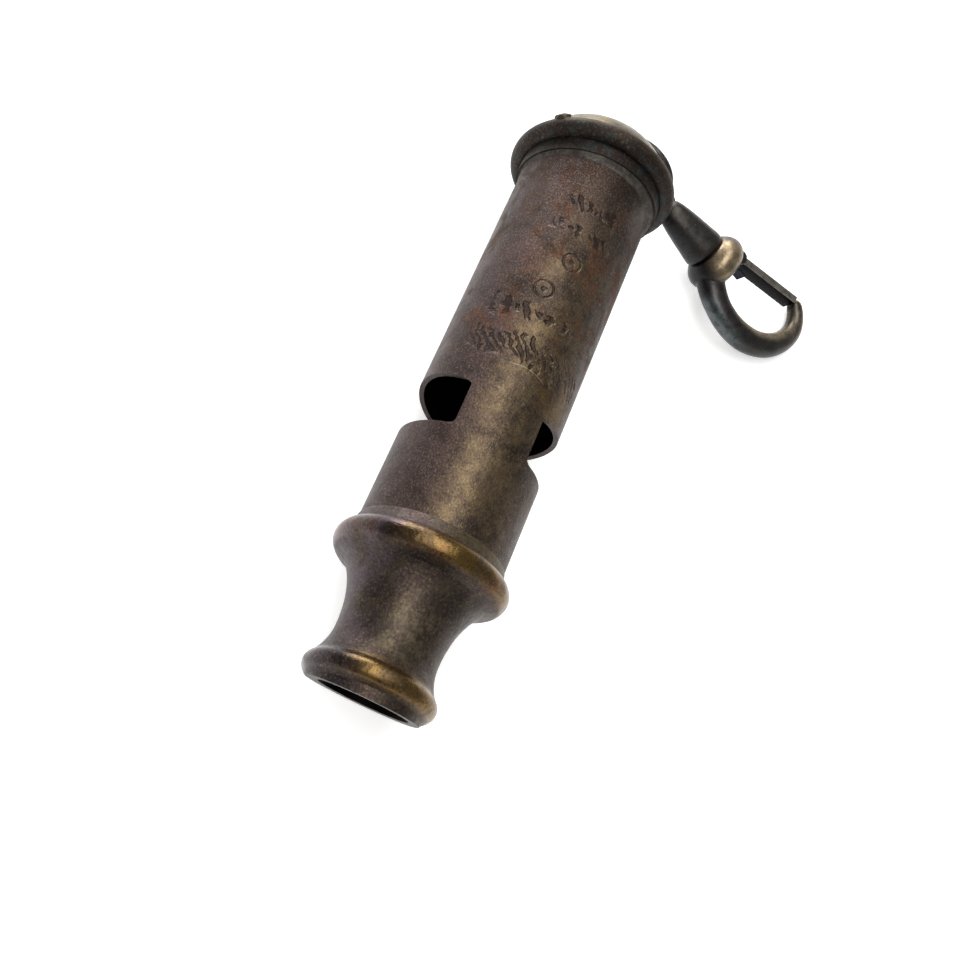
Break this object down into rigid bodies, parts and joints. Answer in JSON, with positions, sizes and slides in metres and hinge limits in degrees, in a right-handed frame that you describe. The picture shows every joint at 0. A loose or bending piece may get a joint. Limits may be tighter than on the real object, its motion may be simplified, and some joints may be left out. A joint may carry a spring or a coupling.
{
  "type": "round whistle with swivel hook",
  "caption": "Round metal whistle with two side windows, waisted mouthpiece, domed cap and a sprung swivel hook on a link ring.",
  "frame": {"origin": "in the mouth opening, on the whistle's axis", "axes": "+X along the whistle from the mouth to the cap; +Z the side that looks up when it lies on a table with both windows at the sides; the hook hangs to the -Y side"},
  "size_m": [0.0861, 0.0496, 0.0222],
  "materials": {
    "tarnished_plate": "worn nickel plate over brass, tarnished purple-brown, fine grain",
    "worn_brass": "bronze-brown brass, rubbed bright on the beads",
    "inner_brass": "dark oxidised brass",
    "solder": "dull grey soft solder",
    "dark_steel": "gunmetal steel, smooth, bronze where worn",
    "spring_steel": "blued spring steel"
  },
  "bodies": {
    "whistle": {"barrel": "tarnished_plate", "mouthpiece": "worn_brass", "windway_block_left": "inner_brass", "windway_block_right": "inner_brass", "partition_plate": "inner_brass", "short_pipe_stopper": "inner_brass", "end_cap": "worn_brass", "cap_solder_ring": "solder", "top_loop": "worn_brass"},
    "link": {"link_ring": "dark_steel"},
    "swivel": {"swivel_eye": "dark_steel"},
    "hook": {"hook_body": "dark_steel", "gate_pin": "dark_steel", "gate_spring": "spring_steel"},
    "gate": {"gate": "dark_steel"}
  },
  "joints": [
    {"name": "link_swing", "type": "hinge", "parent": "whistle", "child": "link", "pos_m": [0.08183, -0.00252, 0], "axis": [0.9988, 0.0488, 0], "range_deg": [-43, 10]},
    {"name": "eye_swing", "type": "hinge", "parent": "link", "child": "swivel", "pos_m": [0.07939, -0.01028, -0.00238], "axis": [-0.0401, -0.2591, 0.965], "range_deg": [-40, 95]},
    {"name": "swivel_turn", "type": "hinge", "parent": "swivel", "child": "hook", "pos_m": [0.07762, -0.02172, -0.00553], "axis": [-0.1476, -0.9537, -0.2622], "continuous": true},
    {"name": "gate_swing", "type": "hinge", "parent": "hook", "child": "gate", "pos_m": [0.08014, -0.02406, -0.00605], "axis": [-0.0401, -0.2591, 0.965], "range_deg": [-25, 0], "stiffness_Nm_per_rad": 0.01, "springref_deg": 28.65}
  ]
}
